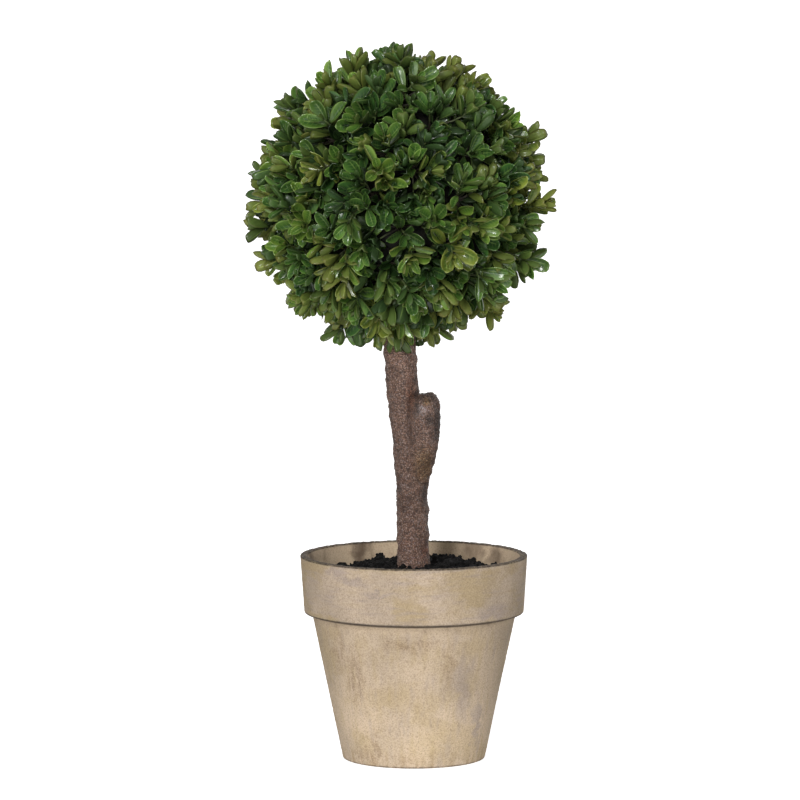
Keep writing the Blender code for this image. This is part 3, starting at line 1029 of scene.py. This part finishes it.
# %% Directions and distances
BALL_CENTRE = np.array((-11.3, 0, 399)) * MM
CORE_RADIUS = 66 * MM
CORE_LUMPS = 6 * MM
CORE_LUMP_SIZE = 20 * MM
STEM_COUNT = 64
STEM_ROOT_RADIUS = 60 * MM
FORK_RADIUS = 73 * MM
LAYERS = (  # number of twigs, how far out they end and how unevenly, and their pairs of leaves
    (305, 92.0, 5.2, 6),
    (190, 83.5, 4, 4),
    (170, 77, 3, 3),
)
DIRECTION_JITTER = 0.05  # radians
TRUNK_KEEP_OUT = 13.4 * MM
BALL_SEED = 61
TIP_MARGIN = 2 * MM  # leaves are this wide beside their tips
ball_low, ball_high = (np.array(corner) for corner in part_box("foliage_ball"))


def even_directions(count, turned=0.0):
    """Directions spread evenly over a ball, along a golden spiral from the top."""
    golden_turn = math.pi * (3 - math.sqrt(5))
    for i in range(count):
        height = 1 - (2 * i + 1) / count
        ring = math.sqrt(1 - height * height)
        turn = golden_turn * i + turned
        yield np.array((ring * math.cos(turn), ring * math.sin(turn), height))


def unit(vector):
    return vector / np.linalg.norm(vector)


def jittered(direction, rng, amount=DIRECTION_JITTER):
    return unit(direction + np.array([rng.gauss(0, amount) for _ in range(3)]))


def near_trunk(point):
    """True where a point under the ball's middle is too close to the trunk."""
    right, back, _ = limb_middle(point[2])
    away = math.hypot(point[0] - right, point[1] - back)
    return point[2] < BALL_CENTRE[2] and away < TRUNK_KEEP_OUT


def outside(point):
    return bool((point < ball_low + TIP_MARGIN).any() or (point > ball_high - TIP_MARGIN).any())


# %% [markdown]
# ## One leaf
#
# A boxwood leaf is a small spoon: a narrow foot, widest past its middle, a blunt or
# slightly notched tip, a hollow upper side with a fine groove along it, and a thin
# raised rim. An image on a flat card would lose that at the ball's edge. So the leaf is
# a thin closed shell on a small grid, and a few forms of it are used at many sizes.

# %% The leaf's shell
RIM_AT = 0.82
LEAF_COLUMNS = np.array((-1, -RIM_AT, -0.45, 0, 0.45, RIM_AT, 1))
LEAF_ROWS = np.array((0, 0.14, 0.31, 0.49, 0.65, 0.79, 0.91, 1))
LEAF_FOOT = 0.11  # half the foot's width, as a share of the leaf's
LEAF_BLUNT_FROM = 0.982  # the outline narrows no further, so the tip is blunt
LEAF_THICKNESS = 0.026  # this and the next three are shares of the leaf's length
LEAF_GROOVE = 0.012
LEAF_RIM = 0.009
TIP_ROUNDING = 0.035
LEAF_FORMS = (  # width, where it is widest, bluntness, hollow, fold, curl and notch
    (0.45, 0.69, 0.45, 0.085, 0.09, 0.05, 0.00),
    (0.50, 0.67, 0.45, 0.105, 0.07, 0.09, 0.03),
    (0.38, 0.62, 0.66, 0.070, 0.12, -0.05, 0.00),
    (0.51, 0.68, 0.44, 0.115, 0.06, 0.12, 0.02),
    (0.33, 0.58, 0.72, 0.065, 0.14, 0.03, 0.00),
    (0.44, 0.70, 0.42, 0.090, 0.08, -0.08, 0.04),
    (0.40, 0.64, 0.58, 0.085, 0.16, 0.14, 0.01),
    (0.45, 0.65, 0.50, 0.100, 0.08, -0.14, 0.00),
    (0.35, 0.60, 0.68, 0.080, 0.18, 0.06, 0.00),
)
CELL_MARGIN = 0.06


def leaf_form(width, widest, bluntness, hollow, fold, curl, notch):
    """A leaf along Y, one long, whose upper side faces +Z."""
    across, along = np.meshgrid(LEAF_COLUMNS, LEAF_ROWS)
    rows, columns = across.shape
    narrow = bluntness * widest / (1 - widest)
    reach = np.minimum(along, LEAF_BLUNT_FROM)
    full = (reach / widest) ** narrow * ((1 - reach) / (1 - widest)) ** bluntness
    full = np.maximum(full, LEAF_FOOT)
    x = across * full * width / 2
    y = along.copy()
    y[-1] -= TIP_ROUNDING * across[-1] ** 2 + notch * (1 - across[-1] ** 2)
    y[-2] -= 0.4 * notch * (1 - across[-2] ** 2)
    bowl = full * (fold * abs(across) + hollow * (across**2 - 1)) + curl * along**2
    on_rim, on_groove = abs(across) == RIM_AT, across == 0
    upper = bowl + full * (LEAF_RIM * on_rim - LEAF_GROOVE * on_groove)
    lower = bowl - LEAF_THICKNESS * (1 - across**2) * full**0.5 - LEAF_GROOVE * on_groove * full

    number = np.arange(rows * columns).reshape(rows, columns)
    number_below = number.copy()
    inner = number_below[1:-1, 1:-1]
    inner[:] = rows * columns + np.arange(inner.size).reshape(inner.shape)
    top = np.stack([x, y, upper], -1)
    bottom = np.stack([x, y, lower], -1)[1:-1, 1:-1]
    top[:, (0, -1), 2], top[(0, -1), :, 2] = bowl[:, (0, -1)], bowl[(0, -1), :]
    points = np.concatenate([top.reshape(-1, 3), bottom.reshape(-1, 3)])

    grid = grid_triangles(rows, columns)
    triangles = np.concatenate([number.ravel()[grid], number_below.ravel()[grid][:, ::-1]])
    from_edge = 0.5 + across * (0.5 - CELL_MARGIN)
    from_foot = CELL_MARGIN + along * (1 - 2 * CELL_MARGIN)
    flat = np.stack([from_edge, from_foot], -1).reshape(-1, 2)
    places = np.concatenate([flat[grid], flat[grid][:, ::-1]])
    return points, triangles, places


leaf_forms = [leaf_form(*numbers) for numbers in LEAF_FORMS]
print(len(leaf_forms), "forms of leaf, each of", len(leaf_forms[0][1]), "triangles")

# %% Growing the sprigs
LEAF_PAIRS = (  # mm back from the twig's tip, the leaf's length in mm, and its opening in degrees
    (0.3, 8.2, 12),
    (1.4, 14.8, 25),
    (3.8, 17.9, 35),
    (7.2, 19.2, 45),
    (11.3, 18.8, 56),
    (16.0, 17.0, 68),
)
SIZE_SPREAD = 0.22
SHORTEST_LEAF = 4 * MM
OPENNESS_SPREAD = 10
TURN_JITTER = 0.2  # radians
ROLL_JITTER = 0.28
TWIG_LEAN = 0.34
TWIG_RINGS = 6
TWIG_SIDES = 6
TWIG_FOOT_RADIUS = 0.85 * MM
TWIG_TIP_RADIUS = 0.5 * MM
STEM_RADIUS = 1.15 * MM
MISSING_LEAVES = 0.06
BARE_FOOT = 0.15  # the share of a twig, from its foot, that carries no leaves
LINE_REACH = 2 * MM
# The inner sprays get the darkest tints as painted shade, and the sides the yellower ones as painted
# light shining through.
TINTS = {  # chances in the outer layer to the front and back, and aside, in the middle and deep ones
    "shade_green": (0, 0, 19, 84),
    "deep_green": (18, 4, 46, 16),
    "leaf_green": (29, 14, 25, 0),
    "grass_green": (30, 24, 10, 0),
    "fresh_green": (20, 31, 0, 0),
    "olive_green": (3, 29, 0, 0),
}


def add_leaf(heap, rng, root, heading, facing, length):
    """One leaf from its foot, along its heading, with its upper side towards facing."""
    points, triangles, places = leaf_forms[rng.randrange(len(leaf_forms))]
    side = unit(np.cross(heading, facing))
    up = np.cross(side, heading)
    roll = rng.gauss(0, ROLL_JITTER)
    side, up = side * math.cos(roll) + up * math.sin(roll), up * math.cos(roll) - side * math.sin(roll)
    half = MAP_CELLS // 2  # the map's left half is for upper sides, its right one for undersides
    cell_above = (rng.randrange(half), rng.randrange(MAP_CELLS))
    cell_below = (half + rng.randrange(half), rng.randrange(MAP_CELLS))
    while outside(root + heading * length) and length > SHORTEST_LEAF:
        length *= 0.9
    tip, middle = root + heading * length, root + heading * length / 2
    if outside(tip) or near_trunk(tip) or near_trunk(middle):
        return
    cells = np.repeat((cell_above, cell_below), len(triangles) // 2, axis=0)[:, None, :]
    places = ((places + cells) / MAP_CELLS).reshape(-1, 2)
    heap.add(root + points @ np.stack([side, heading, up]) * length, triangles, places)


def bent(start, way_out, end, way_in, count):
    """Points of a curve that leaves start along way_out and comes to end along way_in."""
    reach = np.linalg.norm(end - start)
    bends = start, start + way_out * reach * 0.3, end - way_in * reach * 0.5, end
    t = np.linspace(0, 1, count)[:, None]
    shares = (1 - t) ** 3, 3 * t * (1 - t) ** 2, 3 * t**2 * (1 - t), t**3
    return sum(share * bend for share, bend in zip(shares, bends))


def grow_twig(wood, leaves, rng, path, pairs):
    """A twig along a path, with its pairs of leaves."""
    radii = np.linspace(TWIG_FOOT_RADIUS, TWIG_TIP_RADIUS, len(path))
    wood.add(*tube(path, radii, TWIG_SIDES))
    steps = np.insert(np.cumsum(np.linalg.norm(np.diff(path, axis=0), axis=1)), 0, 0)
    first_turn = rng.uniform(0, math.tau)
    for number, (back, length, openness) in enumerate(pairs):
        at = steps[-1] - back * MM
        if at < BARE_FOOT * steps[-1]:
            break
        reached = at, min(at + LINE_REACH, steps[-1]), max(at - LINE_REACH, 0)
        place, ahead, behind = np.stack([np.interp(reached, steps, values) for values in path.T], 1)
        line = unit(ahead - behind)
        across = unit(np.cross(line, (0.2, 0.5, 0.84)))
        upright = np.cross(line, across)
        for opposite in (0, math.pi):
            turn = first_turn + number * math.pi / 2 + opposite + rng.gauss(0, TURN_JITTER)
            lean = math.radians(openness + rng.uniform(-OPENNESS_SPREAD, OPENNESS_SPREAD))
            size = length * MM * rng.uniform(1 - SIZE_SPREAD, 1 + SIZE_SPREAD)
            missing = rng.random() < MISSING_LEAVES
            aside = across * math.cos(turn) + upright * math.sin(turn)
            if not missing:
                add_leaf(leaves, rng, place, line * math.cos(lean) + aside * math.sin(lean), line, size)


def tint_for(way, layer, rng):
    """The tint of a spray, by chance, but yellower to the sides as painted light shining through, and
    darker inside as painted shade.
    """
    front = abs(way[1]) ** 1.5
    chances = []
    for facing, aside, middle, deep in TINTS.values():
        chances.append((facing * front + aside * (1 - front), middle, deep)[layer])
    return rng.choices(list(TINTS), chances)[0]


def grow_ball():
    rng = random.Random(BALL_SEED)
    wood, sprays = Heap(), {tint: Heap() for tint in TINTS}
    stems = [jittered(way, rng) for way in even_directions(STEM_COUNT)]
    for layer, (count, end_radius, spread, pair_count) in enumerate(LAYERS):
        for way in even_directions(count, 1.9 * layer):
            way = jittered(way, rng)
            end = BALL_CENTRE + way * rng.gauss(end_radius, spread) * MM
            tint = tint_for(way, layer, rng)
            nearest = max(stems, key=lambda stem: stem.dot(way))
            fork = BALL_CENTRE + nearest * FORK_RADIUS
            if near_trunk(end) or near_trunk(fork):
                continue
            path = bent(fork, nearest, end, jittered(way, rng, TWIG_LEAN), TWIG_RINGS)
            grow_twig(wood, sprays[tint], rng, path, LEAF_PAIRS[:pair_count])
    for stem in stems:
        fork = BALL_CENTRE + stem * FORK_RADIUS
        if not near_trunk(fork):
            root = BALL_CENTRE + stem * STEM_ROOT_RADIUS
            wood.add(*tube([root, (root + fork) / 2, fork], [STEM_RADIUS] * 3, TWIG_SIDES))
    return wood, sprays


wood_heap, spray_heaps = grow_ball()
leaf_count = sum(len(heap.points) for heap in spray_heaps.values())
print(leaf_count, "leaves")

# %% [markdown]
# ## The leaves' finish
#
# Moulded leaves have their colour in the plastic: green with a paler midrib, and a
# duller, matter underside. The hollow is painted darker, as painted shade, the foot
# darker too, as painted shade where leaves crowd, and the rim paler, partly as a painted
# highlight. All of it has its place on the leaf, so it is worked out from the leaf's cell
# on the shared map: how far a point lies from the midrib, and how far along. Each cell
# gets a tone of its own, and the sprays are dealt out over six tints, since no two
# batches of plastic are quite alike. The darkest goes to the inner sprays as painted
# shade, and the yellower ones mostly to the sides as painted light shining through.

# %% Colours by their place on the leaf
# The hollow colour is painted shade, and the rim colour partly a painted highlight.
LEAF_PAINTS = {  # blade, hollow, rim and underside, and how brown the underside is
    "shade_green": ((32, 55, 19), (20, 39, 13), (58, 82, 36), (30, 45, 18), 0.0),
    "deep_green": ((48, 82, 33), (29, 56, 21), (112, 140, 68), (42, 64, 29), 0.0),
    "leaf_green": ((64, 97, 38), (38, 69, 26), (130, 157, 79), (54, 78, 34), 0.1),
    "grass_green": ((78, 110, 41), (48, 82, 28), (144, 170, 90), (67, 86, 35), 0.2),
    "fresh_green": ((95, 123, 44), (61, 94, 32), (158, 179, 96), (87, 101, 41), 0.35),
    "olive_green": ((111, 123, 45), (70, 94, 33), (165, 177, 94), (97, 107, 45), 0.45),
}
BROWNED = paint(98, 80, 40)
HEART = paint(150, 158, 108)  # the pale foot where young leaves meet
PLASTIC_RELIEF = 0.2 * MM


def leaf_finish(name, *paints, browning):
    finish = Finish(name)
    blade, hollow, rim, underside = [paint(*levels) for levels in paints]
    map_right, map_up, _ = finish.parts(finish.mapped())
    right, up = map_right * MAP_CELLS, map_up * MAP_CELLS
    column, row = math.floor(right), math.floor(up)
    across = abs((right - column - 0.5) / (0.5 - CELL_MARGIN))
    along = (up - row - CELL_MARGIN) / (1 - 2 * CELL_MARGIN)
    below = column > MAP_CELLS / 2 - 0.5
    cell = finish.node("CombineXYZ", [column, row, 0.0])
    chance = finish.node("TexWhiteNoise", {"Vector": cell}, "Value", noise_dimensions="2D")
    cloud = finish.cloud(0.045, finish.mapped(), detail=3)

    in_hollow = across.rising(0.8, 0.2) * along.rising(0.15, 0.4) * along.rising(1.0, 0.75)
    on_rim = across.rising(0.78, 0.96).larger(along.rising(0.94, 0.99))
    on_midrib = across.rising(0.12, 0.03) * along.rising(0.97, 0.6)
    veins = (along * 44 - across * 9).sine().rising(0.4, 1.0)
    browned = (along.rising(0.8, 1.0) * chance).larger(on_rim * 0.8)
    # darker towards the foot of each leaf: painted shade where the leaves crowd
    painted_foot_shade = along.rising(0.5, 0.0)

    above = finish.layered(
        blade,
        # painted shade in the hollow, and a paler rim that is partly a painted highlight
        (in_hollow * 0.95, hollow),
        (veins * in_hollow * 0.2, rim),
        (on_rim * 0.42, rim),
        (on_midrib * 0.4, rim),
        (along.rising(0.14, 0.0) * 0.4, HEART),
    )
    under = finish.layered(underside, (on_midrib * 0.5, rim), (browned * browning, BROWNED))
    tone = (0.7 + 0.64 * chance) * (0.76 + 0.5 * cloud) * (1 - 0.5 * painted_foot_shade)
    return finish.surface(
        base_color=finish.dimmed(finish.blend(below, above, under), tone),
        roughness=0.42 - 0.14 * on_rim + 0.14 * cloud + 0.14 * below,
        normal=finish.relief(veins * 0.4 + cloud * 0.6, PLASTIC_RELIEF, 0.5),
        specular_ior_level=0.3,
        coat_weight=(1 - 0.6 * below) * (0.6 + 0.4 * cloud.rising(0.4, 0.6)),
        coat_roughness=0.16,
    )


for tint, heap in spray_heaps.items():
    *paints, brownness = LEAF_PAINTS[tint]
    leaves = heap.as_piece("leaves_" + tint, leaf_finish("leaf_" + tint, *paints, browning=brownness))
    settle(leaves, "foliage", "foliage_ball")

# %% [markdown]
# ## Twigs and core
#
# The twigs are brown where they leave the core and green at their tips. The core is what
# the sprigs are pushed into: on the real ball a dark lattice, seen only through the black
# gaps. A lumpy ball does that job, painted nearly black, partly as painted shade in those
# gaps.

# %% Twigs, brown to green
TWIG_BROWN = paint(38, 32, 21)
TWIG_GREEN = paint(74, 88, 44)
CORE_BROWN = paint(30, 26, 19)
CORE_SHADE_BLACK = paint(12, 15, 8)


def twig_finish():
    finish = Finish("sprig_wood")
    along = finish.parts(finish.mapped())[1]
    cloud = finish.cloud(0.12, finish.mapped())
    colour = finish.blend((along + 0.3 * (cloud - 0.5)).rising(0.35, 0.9), TWIG_BROWN, TWIG_GREEN)
    return finish.surface(
        base_color=finish.dimmed(colour, 0.75 + 0.5 * cloud),
        roughness=0.5 + 0.2 * cloud,
        normal=finish.relief(cloud, PLASTIC_RELIEF, 0.4),
    )


twigs = wood_heap.as_piece("twigs", twig_finish())
settle(twigs, "foliage", "foliage_ball")


# %% The dark core
def core_finish():
    finish = Finish("dark_core")
    cloud = finish.cloud(7 * MM)
    # nearly black, partly as painted shade in the gaps between the sprays
    colour = finish.blend(cloud.rising(0.35, 0.65), CORE_SHADE_BLACK, CORE_BROWN)
    return finish.surface(base_color=colour, roughness=0.85 + 0.1 * cloud,
                          normal=finish.relief(cloud, 2 * MM, 0.8))


ball_middle = Vector(BALL_CENTRE)
core_mesh = bpy.data.meshes.new("inner_core")
core_work = bmesh.new()
bmesh.ops.create_icosphere(core_work, subdivisions=5, radius=CORE_RADIUS)
for vertex in core_work.verts:
    lump = CORE_LUMPS * noise.noise(vertex.co / CORE_LUMP_SIZE)
    vertex.co = ball_middle + vertex.co + vertex.co.normalized() * lump
core_work.to_mesh(core_mesh)
core_work.free()
core_mesh.shade_smooth()
core_mesh.materials.append(core_finish())
inner_core = placed_in_scene("inner_core", core_mesh)
settle(inner_core, "foliage", "foliage_ball")
print("inner_core:", len(core_mesh.polygons), "triangles")
